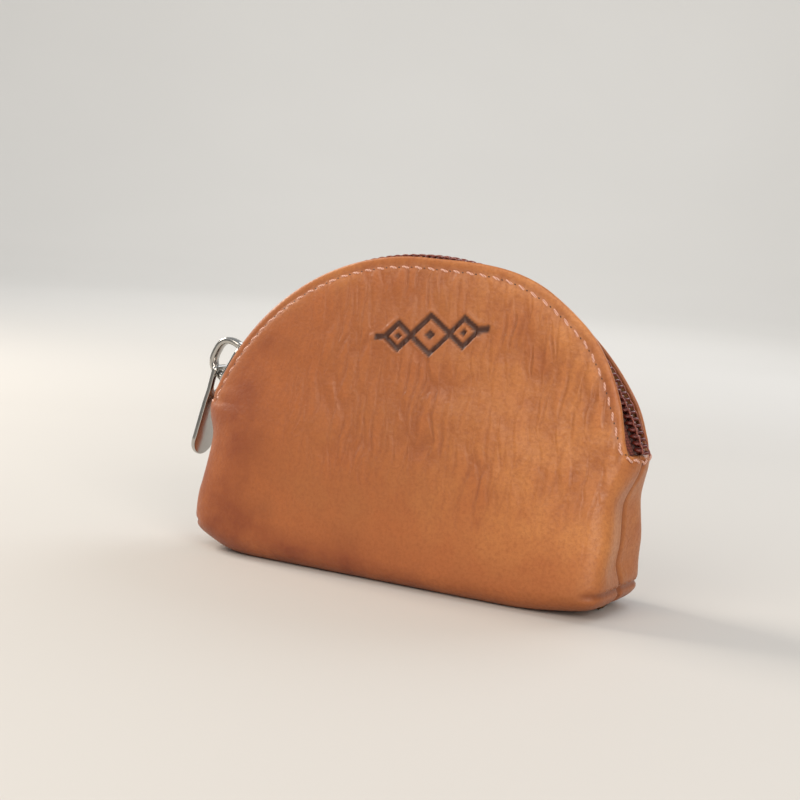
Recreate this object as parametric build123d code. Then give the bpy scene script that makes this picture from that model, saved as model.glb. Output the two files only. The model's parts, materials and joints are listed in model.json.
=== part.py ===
from build123d import *
import math
import os

# Small half-moon leather pouch with a coil zip round its arched mouth.
# Millimetres. +Z is up, X runs along the width, and the front faces -Y.
# The origin is the middle of the resting face under the base.

# ---- leather body ----
HEIGHT = 73.0            # table to the top of the leather arch
HALF_WIDTH = 56.3        # middle to the tip of a side seam, at the end of the zip
BASE_HALF_WIDTH = 54.2   # middle to the boxed end, just above the base
HALF_DEPTH = 16.0        # middle to the front panel, just above the base
BEND_HALF_DEPTH = 12.9   # the same, at the height where the mouth starts
MOUTH_HALF_DEPTH = 5.7   # middle to the outside of the leather, all along the arch
LEATHER = 1.4            # thickness of a panel
LINING = 0.4             # thickness of the lining
SKIN_GAP = 0.05          # air between the leather and what lies against it
BASE_ROUND = 5.0         # radius where the front turns under
END_ROUND = 4.0          # radius where an end turns under

# ---- arch and zip ----
ARCH_RADIUS = 58.0       # cut edge of the leather round the mouth
ARCH_CENTRE_X = 3.5      # the arch leans this far past the middle of the base
ARCH_CENTRE_Z = HEIGHT - ARCH_RADIUS
MOUTH_Z = 35.0           # height of the zip's two ends, where the lips start to bend
LIP_GAP = 0.3            # air between a lip and the panel under it
TAPE_TOP = 56.1          # radius of the face of the tape that carries the coil
TAPE = 0.6               # thickness of the tape
TAPE_SKIRT = 8.0         # width of the tape sewn inside the leather
TAPE_GAP = 0.12          # air between the tape and the leather
COIL_TOP = 58.3          # outer radius of the coil
COIL_HALF = 2.9          # middle to the outside of one row of coil
ZIP_END_DEG = 69.8       # the tape's ends, each side of straight up
COIL_END_DEG = 68.6      # the coil's ends

# ---- slider and pull tab ----
SLIDER_DEG = -62.0       # where the slider stands when the zip is shut
SLIDER_LENGTH = 11.0
SLIDER_HALF = 3.95       # half the width of the top plate
BOTTOM_HALF = 3.3        # half the width of the bottom plate, between the tapes' skirts
SLIDER_PLATE = 1.2
CHANNEL_TOP = 58.65      # underside of the top plate
CHANNEL_BOTTOM = 55.0    # upper face of the bottom plate
FLANGE = 0.7
FLANGE_BOTTOM = 56.7
POST_LENGTH = 3.2        # wedge post that joins the plates at the nose
POST_WIDTH = 2.0
BRIDGE_LENGTH = 10.9
BRIDGE_HEIGHT = 7.0
BRIDGE_WIDTH = 2.4
BRIDGE_BAR = 1.7
PIVOT_X = -3.0           # pull tab's cross bar, from the middle of the slider
PIVOT_UP = 3.0           # the same, above the top plate
TAB_LENGTH = 22.5        # cross bar to the far end
TAB_THICK = 1.2
TAB_HALF = 4.0           # half the width of its round end
TAB_NECK_HALF = 2.9      # half the width beside the eye
EYE_HALF = 1.65          # half the width of the eye
EYE_LENGTH = 6.0
TAB_LEAN = 13.0          # lean from hanging straight down, in degrees

# ---- thread ----
STITCH_PITCH = 3.2
STITCH_LENGTH = 2.3
THREAD = 0.25            # radius
STITCH_INSET = 2.0       # from the cut edge of the leather
THREAD_GAP = 0.2         # air between a thread and the leather

# Heights at which the body's outline is drawn.
LEVELS = [0, 0.6, 1.6, 3.0, 5.0, 10, 16, 22, 28, 32.5, MOUTH_Z, 37, 40, 43, 47, 51, 56, 61, 66, 70, 76]
HALF_STEPS = 9           # points from the middle of a panel to its side seam


def seam_half_width(z):
    """Middle to a side seam, at height z."""
    if z < END_ROUND:
        drop = (END_ROUND - z) / END_ROUND
        return BASE_HALF_WIDTH - END_ROUND * (1 - math.sqrt(1 - drop ** 2))
    rise = min(1.0, (z - END_ROUND) / (MOUTH_Z - END_ROUND))
    return BASE_HALF_WIDTH + (HALF_WIDTH - BASE_HALF_WIDTH) * rise ** 1.5


def centre_half_depth(z):
    """Middle to a panel's outside at x = 0, at height z."""
    if z < BASE_ROUND:
        drop = (BASE_ROUND - z) / BASE_ROUND
        return HALF_DEPTH - BASE_ROUND * (1 - math.sqrt(1 - drop ** 2))
    if z < MOUTH_Z:
        rise = (z - BASE_ROUND) / (MOUTH_Z - BASE_ROUND)
        return HALF_DEPTH + (BEND_HALF_DEPTH - HALF_DEPTH) * rise
    rise = min(1.0, (z - MOUTH_Z) / (HEIGHT - MOUTH_Z))
    return BEND_HALF_DEPTH + (MOUTH_HALF_DEPTH + 0.2 - BEND_HALF_DEPTH) * rise


def lean(z):
    """How far the outline's middle stands towards +X, at height z."""
    return ARCH_CENTRE_X * max(0.0, min(1.0, z / MOUTH_Z))


def squareness(z):
    """Power of the outline: high is a boxed end, low is a pointed one."""
    rise = min(1.0, z / MOUTH_Z)
    return 8.0 - 5.0 * rise


def arch_half_width(z):
    """Middle to the cut edge of the arch, at height z."""
    return math.sqrt(max(0.0, ARCH_RADIUS ** 2 - (z - ARCH_CENTRE_Z) ** 2))


def half_depth(x, z):
    """Middle to a panel's outside, with x counted from the middle of the outline at z."""
    deep = centre_half_depth(z)
    if z <= MOUTH_Z:
        power = squareness(z)
        share = min(1.0, abs(x) / seam_half_width(z))
        return deep * (1 - share ** power) ** (1 / power)
    wide = arch_half_width(z)
    share = min(1.0, abs(x) / wide) if wide > 0 else 1.0
    return MOUTH_HALF_DEPTH + (deep - MOUTH_HALF_DEPTH) * math.sqrt(1 - share ** 2)


def outline(z, inset):
    """Half outline of the pouch at height z, as a face, moved inwards by inset."""
    above = z > MOUTH_Z
    end = HALF_WIDTH + 3.0 if above else seam_half_width(z)
    points = []
    for step in range(-HALF_STEPS, HALF_STEPS + 1):
        share = math.sin(math.pi / 2 * step / HALF_STEPS)
        depth = 0.0 if abs(step) == HALF_STEPS else half_depth(end * share, z) - inset
        points.append((lean(z) + share * (end - inset), -depth))
    lift = inset * max(0.0, 1 - z / BASE_ROUND)
    return Pos(0, 0, z + lift) * make_face(Polyline(*points, close=True))


def front_block(inset):
    """Everything inside the front panel's outside, moved inwards by inset."""
    sections = [outline(z, inset).face() for z in LEVELS]
    return Solid.make_loft([face.outer_wire() for face in sections], ruled=True)


def arch_plate(radius):
    """Plate of the whole front view: the arch, and all that lies under the zip's ends."""
    disc = Cylinder(radius, 60, rotation=(90, 0, 0))
    disc = Pos(ARCH_CENTRE_X, 0, ARCH_CENTRE_Z) * disc
    under = Pos(0, 0, MOUTH_Z / 2 - 5) * Box(140, 60, MOUTH_Z + 10)
    return disc + under


def slab(low, high):
    """All space between two heights."""
    return Pos(0, 0, (low + high) / 2) * Box(150, 60, high - low)


def panel_pieces(outer_inset, inner_inset, radius):
    """Front skin between two insets, as its lower part and its lip."""
    skin = front_block(outer_inset) - front_block(inner_inset)
    skin = skin & arch_plate(radius)
    lower = skin & slab(-1, MOUTH_Z - LIP_GAP)
    lip = skin & slab(MOUTH_Z, HEIGHT + 2)
    return lower, lip


def ring_piece(r_low, r_high, y_low, y_high, from_deg, to_deg):
    """Box section swept round the arch's centre, degrees counted from straight up."""
    section = Pos((r_low + r_high) / 2, (y_low + y_high) / 2) * Rectangle(r_high - r_low, y_high - y_low)
    face = Plane(origin=(0, 0, 0), x_dir=(0, 0, 1), z_dir=(-1, 0, 0)) * section
    swept = revolve(face, axis=Axis.Y, revolution_arc=to_deg - from_deg)
    swept = Rot(0, from_deg, 0) * swept
    return Pos(ARCH_CENTRE_X, 0, ARCH_CENTRE_Z) * swept


def zip_tape():
    """Front tape: flat under the coil, parted at the post, turned down inside the leather."""
    inner = MOUTH_HALF_DEPTH - LEATHER - TAPE_GAP
    under = TAPE_TOP - TAPE
    meet_deg = SLIDER_DEG + 1.0
    closed = ring_piece(under, TAPE_TOP, -inner, -0.2, meet_deg, ZIP_END_DEG)
    parted = ring_piece(under, TAPE_TOP, -inner, -1.2, -ZIP_END_DEG, meet_deg)
    low = TAPE_TOP - TAPE_SKIRT
    skirt = ring_piece(low, TAPE_TOP, -inner, -inner + TAPE, -ZIP_END_DEG, ZIP_END_DEG)
    tape = closed + parted + skirt
    return tape & slab(MOUTH_Z, HEIGHT + 2)


def zip_coil():
    """Front row of coil, parted where it runs round the slider's post."""
    foot = TAPE_TOP + 0.02
    meet_deg = SLIDER_DEG + 1.0
    closed = ring_piece(foot, COIL_TOP, -COIL_HALF, -0.1, meet_deg, COIL_END_DEG)
    parted = ring_piece(foot, COIL_TOP, -3.1, -1.3, -COIL_END_DEG, meet_deg)
    return closed + parted


def thread(start, end):
    """One straight stitch."""
    direction = end - start
    plane = Plane(origin=start, z_dir=direction)
    return extrude(plane * Circle(THREAD), amount=direction.length)


def stitch_row(points):
    """Stitches along a list of points, each shorter than its span."""
    row = []
    for start, end in zip(points[:-1], points[1:]):
        a = Vector(*start)
        b = Vector(*end)
        share = min(1.0, STITCH_LENGTH / (b - a).length)
        middle = (a + b) * 0.5
        half = (b - a) * (0.5 * share)
        row.append(thread(middle - half, middle + half))
    return Compound(children=row)


def on_skin(x, z):
    """Point just outside the front panel, where a thread lies."""
    return (lean(z) + x, -half_depth(x, z) - THREAD - THREAD_GAP, z)


def arch_stitching():
    """Topstitching of the front lip."""
    radius = ARCH_RADIUS - STITCH_INSET
    end = math.radians(67.6)
    count = round(2 * end * radius / STITCH_PITCH)
    points = []
    for step in range(count + 1):
        angle = -end + 2 * end * step / count
        points.append(on_skin(radius * math.sin(angle), ARCH_CENTRE_Z + radius * math.cos(angle)))
    return stitch_row(points)


def end_stitching(side):
    """Bar of stitches under one end of the zip, front half and back half. side is 1 or -1."""
    z = 32.5
    front = []
    for step in range(4):
        x = 52.4 + 1.15 * step
        front.append((lean(z) + side * (x + 0.45), -half_depth(x, z) - 0.55, z))
    back = [(x, -y, z) for x, y, z in front]
    return Compound(children=list(stitch_row(front)) + list(stitch_row(back)))


def side_seam(side):
    """Thread in one side seam, from the boxed end up to the zip."""
    points = []
    count = 8
    for step in range(count + 1):
        z = 5.5 + 25.0 * step / count
        points.append((lean(z) + side * (seam_half_width(z) + THREAD + 0.15), 0, z))
    return stitch_row(points)


def box_seam(side):
    """Thread across one boxed corner."""
    z = 3.9
    points = []
    count = 6
    for step in range(count + 1):
        y = -8.4 + 16.8 * step / count
        points.append((lean(z) + side * (BASE_HALF_WIDTH + THREAD + 0.15), y, z))
    return stitch_row(points)


def base_seam():
    """Thread of the base's middle seam, where its two ends curve up off the table."""
    ends = []
    for side in (-1, 1):
        points = []
        for z in (0.45, 1.6, 3.1):
            points.append((lean(z) + side * (seam_half_width(z) + THREAD + 0.25), 0, z))
        ends += list(stitch_row(points))
    return Compound(children=ends)


def tape_end(side):
    """Folded ends of both tapes, caught in one side seam."""
    return Pos(lean(31.4) + side * 50.9, 0, 31.4) * Box(3.2, 4.4, 5.6)


def at_slider(shape, degrees=SLIDER_DEG):
    """Place what is drawn round the arch's centre, standing straight up."""
    return Pos(ARCH_CENTRE_X, 0, ARCH_CENTRE_Z) * Rot(0, degrees, 0) * shape


def slider_body():
    """Two plates, side flanges, and the wedge post at the nose."""
    plate = Rectangle(SLIDER_LENGTH, 2 * SLIDER_HALF)
    plate = fillet(plate.vertices(), 2.2)
    top = Pos(0, 0, CHANNEL_TOP) * extrude(plate, amount=SLIDER_PLATE)
    top = fillet(top.faces().sort_by(Axis.Z)[-1].edges(), 0.45)
    low_plate = Rectangle(SLIDER_LENGTH, 2 * BOTTOM_HALF)
    low_plate = fillet(low_plate.vertices(), 2.2)
    bottom = Pos(0, 0, CHANNEL_BOTTOM - SLIDER_PLATE) * extrude(low_plate, amount=SLIDER_PLATE)
    post_height = CHANNEL_TOP - CHANNEL_BOTTOM
    post_x = -SLIDER_LENGTH / 2 + POST_LENGTH / 2 + 0.5
    post = Pos(post_x, 0, CHANNEL_BOTTOM + post_height / 2) * Box(POST_LENGTH, POST_WIDTH, post_height + 0.2)
    body = top + bottom + post
    for side in (-1, 1):
        height = CHANNEL_TOP - FLANGE_BOTTOM
        y = side * (SLIDER_HALF - FLANGE / 2)
        flange = Pos(0, y, FLANGE_BOTTOM + height / 2) * Box(SLIDER_LENGTH - 4.4, FLANGE, height + 0.2)
        body = body + flange
    return body


def slider_bridge():
    """Arched loop on the top plate that holds the pull tab."""
    foot = CHANNEL_TOP + SLIDER_PLATE + 0.01
    outer = Pos(0, BRIDGE_HEIGHT / 2) * Rectangle(BRIDGE_LENGTH, BRIDGE_HEIGHT)
    outer = fillet(outer.vertices().group_by(Axis.Y)[-1], 3.0)
    window_height = BRIDGE_HEIGHT - BRIDGE_BAR
    window = Pos(0, window_height / 2) * Rectangle(BRIDGE_LENGTH - 2 * BRIDGE_BAR, window_height)
    window = fillet(window.vertices().group_by(Axis.Y)[-1], 2.0)
    loop = outer - window
    return Pos(0, 0, foot) * extrude(Plane.XZ * loop, amount=BRIDGE_WIDTH / 2, both=True)


def pull_tab():
    """Flat tab with an eye round the bridge; its cross bar is the pivot."""
    eye_end = -EYE_LENGTH
    neck_end = eye_end - 3.0
    round_z = -TAB_LENGTH + TAB_HALF
    plan = Polyline(
        (-TAB_NECK_HALF, TAB_THICK / 2),
        (TAB_NECK_HALF, TAB_THICK / 2),
        (TAB_NECK_HALF, eye_end),
        (TAB_HALF - 0.6, neck_end),
        (TAB_HALF, round_z),
        (-TAB_HALF, round_z),
        (-TAB_HALF + 0.6, neck_end),
        (-TAB_NECK_HALF, eye_end),
        close=True,
    )
    blade = make_face(plan) + Pos(0, round_z) * Circle(TAB_HALF)
    eye_top = -TAB_THICK / 2
    eye_height = EYE_LENGTH + eye_top
    eye = Pos(0, eye_top - eye_height / 2) * Rectangle(2 * EYE_HALF, eye_height)
    eye = fillet(eye.vertices().group_by(Axis.Y)[0], 1.2)
    blade = blade - eye
    face = Plane(origin=(0, 0, 0), x_dir=(0, 1, 0), z_dir=(1, 0, 0)) * blade
    tab = extrude(face, amount=TAB_THICK / 2, both=True)
    # The cross bar is round, so that it can turn inside the bridge.
    square_top = Pos(0, 0, TAB_THICK) * Box(2 * TAB_THICK, 4 * TAB_NECK_HALF, 2 * TAB_THICK)
    square_middle = Box(2 * TAB_THICK, 2 * EYE_HALF, TAB_THICK)
    round_bar = Cylinder(TAB_THICK / 2, 2 * TAB_NECK_HALF, rotation=(90, 0, 0))
    tab = (tab - square_top - square_middle) + round_bar
    # Drawn in the slider's own frame, leaning so that it hangs at TAB_LEAN.
    turn = TAB_LEAN - SLIDER_DEG
    tab = Rot(0, turn, 0) * tab
    return Pos(PIVOT_X, 0, CHANNEL_TOP + SLIDER_PLATE + PIVOT_UP) * tab


def to_back(shape):
    """Same piece on the other side."""
    return mirror(shape, about=Plane.XZ)


def write(name, shape):
    export_step(shape, f"parts/{name}.step")


os.makedirs("parts", exist_ok=True)

front_panel, front_lip = panel_pieces(0.0, LEATHER, ARCH_RADIUS)
lining_from = LEATHER + SKIN_GAP
front_lining, lip_lining = panel_pieces(lining_from, lining_from + LINING, TAPE_TOP - TAPE_SKIRT)

pairs = {
    "panel": front_panel,
    "lining": front_lining,
    "mouth_panel": front_lip,
    "mouth_lining": lip_lining,
    "zip_tape": zip_tape(),
    "zip_coil": zip_coil(),
    "arch_stitching": arch_stitching(),
}
for name, shape in pairs.items():
    write("front_" + name, shape)
    write("back_" + name, to_back(shape))

for name, side in (("right", 1), ("left", -1)):
    write(name + "_end_stitching", end_stitching(side))
    write(name + "_side_seam", side_seam(side))
    write(name + "_box_seam", box_seam(side))
    write(name + "_tape_end", tape_end(side))

write("base_seam", base_seam())
write("slider_body", at_slider(slider_body()))
write("slider_bridge", at_slider(slider_bridge()))
write("pull_tab", at_slider(pull_tab()))
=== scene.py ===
import json
import math

import bmesh
import bpy
import numpy as np
from mathutils import Matrix, Vector, noise
from mathutils.bvhtree import BVHTree


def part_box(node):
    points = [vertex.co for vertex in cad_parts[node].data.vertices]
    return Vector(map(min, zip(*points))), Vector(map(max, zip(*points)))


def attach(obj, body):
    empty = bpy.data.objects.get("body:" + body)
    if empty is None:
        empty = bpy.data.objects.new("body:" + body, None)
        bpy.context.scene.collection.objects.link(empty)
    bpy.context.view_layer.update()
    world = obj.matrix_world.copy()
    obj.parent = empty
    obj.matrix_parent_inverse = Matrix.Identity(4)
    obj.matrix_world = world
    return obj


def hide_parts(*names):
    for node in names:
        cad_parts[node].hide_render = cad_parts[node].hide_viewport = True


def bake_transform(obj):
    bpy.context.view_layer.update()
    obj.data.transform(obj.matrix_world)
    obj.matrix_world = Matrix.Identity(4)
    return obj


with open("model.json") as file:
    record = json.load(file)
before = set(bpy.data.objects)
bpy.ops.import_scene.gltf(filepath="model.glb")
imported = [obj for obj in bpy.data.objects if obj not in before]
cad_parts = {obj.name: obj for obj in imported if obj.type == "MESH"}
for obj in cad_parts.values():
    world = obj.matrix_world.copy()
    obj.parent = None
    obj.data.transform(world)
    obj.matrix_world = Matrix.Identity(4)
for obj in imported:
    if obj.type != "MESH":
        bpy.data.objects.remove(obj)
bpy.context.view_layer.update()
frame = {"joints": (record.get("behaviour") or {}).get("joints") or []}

bl_info = {
    "name": "Half-moon leather pouch",
    "version": (1, 0, 0),
    "blender": (4, 5, 0),
    "location": "3D View > Sidebar > Pouch",
    "description": "Leather, lining, zip, thread and metalwork of a small zipped pouch",
    "category": "Object",
}

MM = 0.001
JOINTS = {joint["name"]: joint for joint in frame["joints"]}


def joint_mm(name):
    """Place of a joint, in millimetres."""
    return [value / MM for value in JOINTS[name]["pos_m"]]


def box_mm(node):
    """Lowest and highest corner of a node, in millimetres."""
    low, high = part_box(node)
    return [value / MM for value in low], [value / MM for value in high]


# ---- sizes read from the frame, in millimetres ----
ARCH_X, _, ARCH_Z = joint_mm("slider_travel")    # centre of the zip's arc
MOUTH_Z = joint_mm("front_mouth_open")[2]        # where the lips start to bend
BEND_DEPTH = -joint_mm("front_mouth_open")[1]    # middle to the panel, at that height
PIVOT = joint_mm("pull_tab_swing")               # the pull tab's cross bar
HEIGHT = box_mm("front_mouth_panel")[1][2]
ARCH_R = HEIGHT - ARCH_Z                         # cut edge of the leather
HALF_WIDTH = box_mm("front_panel")[1][0] - ARCH_X
HALF_DEPTH = -box_mm("front_panel")[0][1]
COIL_TOP = box_mm("front_zip_coil")[1][2] - ARCH_Z
TAPE_TOP = box_mm("front_zip_tape")[1][2] - ARCH_Z

# ---- sizes of the soft pieces, in millimetres ----
LIP_DEPTH = 5.7          # middle to the outside of the leather, along the arch
BASE_HALF_WIDTH = 54.2
BASE_ROUND = 5.0
END_ROUND = 4.0
ARCH_END_DEG = math.degrees(math.acos((MOUTH_Z - ARCH_Z) / ARCH_R))
TIP_DROP = 1.6           # how far the tip of a side seam lies under the zip's end
END_LIFT = 2.8           # how far the ends of the base curve up
SLIDER_DEG = -62.0       # slider's place on the arc when the zip is shut
TAB_LEAN = 13.0          # pull tab's lean from hanging straight down, in degrees
MARK_X = 5.5             # middle of the tooled mark, from the middle of the arch
MARK_Z = 56.0
SHOULDER = 3.9           # rise of the front lip over the zip, on the +X side
STITCH_INSET = 2.0       # topstitching, from the cut edge
STITCH_END_DEG = 67.0    # ends of the arch's topstitching, from straight up
COIL_END_DEG = 68.6      # ends of the coil, from straight up
COIL_ROW = 1.18          # middle of the zip to the middle of a coil row
COIL_PART = 0.9          # how much further out a row lies on the open side of the slider
END_STEPS = 24           # steps of the guesses over one end of the zip
END_RUN = 9.0            # length of the stitching over one end of the zip
LINING_R = 49.5          # the lining's furthest reach from the arc's centre

# ---- camera, in metres and degrees ----
CAMERA_AZ = 29.5         # from the front, round towards +X
CAMERA_EL = 6.2
CAMERA_ROLL = -4.0
CAMERA_AWAY = 0.366
CAMERA_AIM = (0, 0, 0.0398)
CAMERA_SHIFT = 0.0022    # sideways, to the left

# ---- lights: name, place, aim, width in metres, watts, colour ----
LIGHTS = (
    ("key", (-0.62, 0.02, 0.42), (-0.02, 0, 0.04), 0.26, 4.0, "#FFF6EA"),
    ("front", (-0.10, -0.75, 0.60), (0, 0, 0.03), 0.60, 3.6, "#FFF3E4"),
    ("side", (0.62, -0.50, 0.34), (0.02, 0, 0.04), 0.40, 3.4, "#FFF6EC"),
    ("back", (0.15, 0.60, 0.55), (0, 0, 0.05), 0.50, 2.4, "#F4F8FF"),
    ("wall", (-0.40, 0.80, 1.00), (-0.95, 1.75, 0.30), 0.90, 13.0, "#FFFFFF"),
)


def linear(code):
    """sRGB hex colour, as linear values with alpha."""
    parts = [int(code[i:i + 2], 16) / 255 for i in (1, 3, 5)]
    return [p / 12.92 if p <= 0.04045 else ((p + 0.055) / 1.055) ** 2.4 for p in parts] + [1.0]


def fill(node, values):
    """Fills or links a node's inputs. A node given as a value stands for its first output."""
    for key, value in values.items():
        if isinstance(value, bpy.types.Node):
            value = value.outputs[0]
        if isinstance(value, bpy.types.NodeSocket):
            node.id_data.links.new(value, node.inputs[key])
        else:
            node.inputs[key].default_value = value


def add(tree, kind, values=None, **settings):
    """Adds a node, sets its settings, and fills its inputs."""
    made = tree.nodes.new(kind)
    for key, value in settings.items():
        setattr(made, key, value)
    fill(made, values or {})
    return made


# ======================================================================
# Shape of the leather
# ======================================================================

def smooth(value):
    """0 to 1, with soft ends."""
    t = np.clip(value, 0.0, 1.0)
    return t * t * (3 - 2 * t)


def lean(z):
    """How far the outline's middle stands towards +X."""
    return ARCH_X * np.clip(np.asarray(z, float) / MOUTH_Z, 0, 1)


def seam_half_width(z):
    """Middle to a side seam."""
    drop = np.clip((END_ROUND - z) / END_ROUND, 0, 1)
    low = BASE_HALF_WIDTH - END_ROUND * (1 - np.sqrt(1 - drop ** 2))
    rise = np.clip((z - END_ROUND) / (MOUTH_Z - END_ROUND), 0, 1)
    return low + (HALF_WIDTH - BASE_HALF_WIDTH) * rise ** 1.5


def centre_half_depth(z):
    """Middle to the outside of a panel at x = 0."""
    drop = np.clip((BASE_ROUND - z) / BASE_ROUND, 0, 1)
    low = HALF_DEPTH - BASE_ROUND * (1 - np.sqrt(1 - drop ** 2))
    rise = np.clip((z - BASE_ROUND) / (MOUTH_Z - BASE_ROUND), 0, 1)
    lip = np.clip((z - MOUTH_Z) / (HEIGHT - MOUTH_Z), 0, 1)
    return low + (BEND_DEPTH - HALF_DEPTH) * rise + (LIP_DEPTH + 0.2 - BEND_DEPTH) * lip


def arch_height(x):
    """Height of the arch's cut edge over x."""
    return ARCH_Z + np.sqrt(np.maximum(ARCH_R ** 2 - x ** 2, 0))


def section(z, inset):
    """Half outline at height z, from the middle of the panel to the side seam."""
    power = 8.0 - 5.0 * min(1.0, z / MOUTH_Z)
    wide = seam_half_width(z) - inset
    deep = centre_half_depth(z) - inset
    share = np.linspace(0, 1, 300)
    front_x = share * 0.97
    front_y = (1 - front_x ** power) ** (1 / power)
    end_y = np.linspace(front_y[-1], 0, 200)[1:]
    end_x = (1 - end_y ** power) ** (1 / power)
    x = np.concatenate([front_x, end_x]) * wide
    y = np.concatenate([front_y, end_y]) * deep
    length = np.concatenate([[0], np.cumsum(np.hypot(np.diff(x), np.diff(y)))])
    return x, y, length


def lip_half_depth(x, z, inset):
    """Middle to the outside of a lip, above the zip's ends."""
    wide = np.sqrt(np.maximum(ARCH_R ** 2 - (z - ARCH_Z) ** 2, 1e-6))
    share = np.clip(np.abs(x) / wide, 0, 1)
    deep = centre_half_depth(z)
    return LIP_DEPTH + (deep - LIP_DEPTH) * np.sqrt(1 - share ** 2) - inset


def panel_grid(xs, tip_steps, low_rows, high_rows, base_rows, inset=0.0, roof_rows=4):
    """Points of a front panel in columns and rows, and a mask of those that are there.

    Columns run from one side seam to the other. Rows run from the base's middle seam, under the
    base, up the panel, and over the lip to the arch. The last columns at each side run round the
    boxed end to the side seam, and finish in the small roof over the zip's end.
    """
    half = len(xs)
    x_top, _, run = section(MOUTH_Z, inset)
    arch_share = np.interp(xs, x_top, run) / run[-1]
    share = np.concatenate([arch_share, np.linspace(arch_share[-1], 1.0, tip_steps + 1)[1:]])
    tip = np.clip((share - arch_share[-1]) / (1 - arch_share[-1]), 0, 1)
    columns = len(share)
    rows = base_rows + len(low_rows) + len(high_rows)
    points = np.zeros((columns, rows, 3))
    there = np.ones((columns, rows), bool)
    for j, z in enumerate(low_rows):
        # Towards the tip the rows crowd down, because the side seam ends lower than the zip.
        level = z * (1 - TIP_DROP / MOUTH_Z * tip ** 0.8)
        x_line, y_line, run = section(z, inset)
        x = np.interp(share, run / run[-1], x_line)
        y = np.interp(share, run / run[-1], y_line)
        points[:, base_rows + j] = np.stack([x, -y, level], 1)
    for j in range(base_rows):
        points[:, j] = points[:, base_rows] * np.array([1, j / base_rows, 1])
    top = points[:, base_rows + len(low_rows) - 1].copy()
    for j, g in enumerate(high_rows):
        row = base_rows + len(low_rows) + j
        x, start = top[:half, 0], top[:half, 1]
        z = np.maximum(MOUTH_Z + (arch_height(x) - MOUTH_Z) * g, MOUTH_Z)
        ease = smooth((z - MOUTH_Z) / 4.0)
        y = start * (1 - ease) - lip_half_depth(x, z, inset) * ease
        points[:half, row] = np.stack([x, y, z], 1)
        if j < roof_rows:
            t = (j + 1) / roof_rows
            goal = top[half:].copy()
            goal[:, 0] = xs[-1] - 0.4
            goal[:, 2] = MOUTH_Z - 0.2
            roof = top[half:] * (1 - t) + goal * t
            roof[:, 2] += 0.4 * math.sin(math.pi * t)
            points[half:, row] = roof
        else:
            there[half:, row] = False
    # The bend at the mouth is drawn out over the panel, because leather doesn't fold there.
    z = points[:half, base_rows:, 2]
    y = points[:half, base_rows:, 1]
    spread = np.exp(-0.5 * ((z[:, :, None] - z[:, None, :]) / 6.5) ** 2)
    spread *= np.abs(np.gradient(z, axis=1))[:, None, :] + 1e-6
    soft = (spread * y[:, None, :]).sum(2) / spread.sum(2)
    to_arch = ARCH_R - np.hypot(points[:half, base_rows:, 0], np.maximum(z - ARCH_Z, 0))
    to_end = np.hypot(points[:half, base_rows:, 0] - xs[-1], z - MOUTH_Z)
    share = smooth((z - 12) / 14) * smooth(np.minimum(to_arch / 11, to_end / 8))
    points[:half, base_rows:, 1] = y + (soft - y) * share
    left = points[1:][::-1].copy()
    left[..., 0] *= -1
    return np.concatenate([left, points]), np.concatenate([there[1:][::-1], there])


def grid_faces(there):
    """Quads of a grid, where all four corners are there."""
    columns, rows = there.shape
    index = np.arange(columns * rows).reshape(columns, rows)
    full = there[:-1, :-1] & there[1:, :-1] & there[1:, 1:] & there[:-1, 1:]
    corners = np.stack([index[:-1, :-1], index[1:, :-1], index[1:, 1:], index[:-1, 1:]], -1)
    return corners[full]


def grid_normals(points):
    """Outward unit normals of a panel grid whose front faces -Y."""
    across = np.gradient(points, axis=0)
    along = np.gradient(points, axis=1)
    normal = np.cross(across, along)
    size = np.linalg.norm(normal, axis=-1, keepdims=True)
    unit = np.where(size > 1e-9, normal / np.maximum(size, 1e-9), np.array([0, -1.0, 0]))
    # Where rows run together at the arch's ends, the direction of the last whole row holds.
    step = np.linalg.norm(np.diff(points, axis=1), axis=-1)
    for j in range(1, points.shape[1]):
        tight = (step[:, j - 1] < 0.06) & (points[:, j, 2] > MOUTH_Z - 2)
        unit[tight, j] = unit[tight, j - 1]
    return unit


def sample_noise(points, scale, seed, octaves=1):
    """Smooth noise, about -1 to 1, over millimetre points divided by scale."""
    shift = Vector((seed * 13.7, seed * 7.1, seed * 3.3))
    flat = (points.reshape(-1, 3) / np.array(scale)).tolist()
    if octaves == 1:
        values = [noise.noise(Vector(p) + shift) for p in flat]
    else:
        values = [noise.fractal(Vector(p) + shift, 0.6, 2.1, octaves) for p in flat]
    return np.array(values).reshape(points.shape[:-1])


def mark_shape(x, z, grow=1.0):
    """Blank tooled mark: a row of three lozenges on a bar. 1 inside the pressed lines."""
    turn = math.radians(7)
    u = ((x - MARK_X) * math.cos(turn) + (z - MARK_Z) * math.sin(turn)) / grow
    v = ((z - MARK_Z) * math.cos(turn) - (x - MARK_X) * math.sin(turn)) / grow
    width = 0.62
    best = np.full(x.shape, 9.0)
    for centre, size in ((-8.0, 3.3), (0.0, 4.8), (8.0, 3.3)):
        ring = np.abs(np.abs(u - centre) + np.abs(v) * 1.15 - size) / 1.5
        core = (np.abs(u - centre) + np.abs(v) * 1.15 - size * 0.28) / 1.5 + width
        best = np.minimum(best, np.minimum(ring, core))
    for side in (-1, 1):
        tail = np.maximum(np.abs(v) - 0.05, np.abs(u - side * 12.2) - 1.1)
        best = np.minimum(best, tail)
    return smooth((width - best) / 0.35 + 0.5)


def shoulder(x, z):
    """How far the front lip stands up, towards +X and up. x is from the arc's middle."""
    angle = np.arctan2(x, np.maximum(z - ARCH_Z, 1e-6))
    turned = np.degrees(angle)
    lift = SHOULDER * smooth((turned - 2) / 30) * smooth((68 - turned) / 26)
    lift = lift * smooth((np.hypot(x, z - ARCH_Z) - 40) / 18)
    return lift * np.sin(angle), lift * np.cos(angle)


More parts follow.
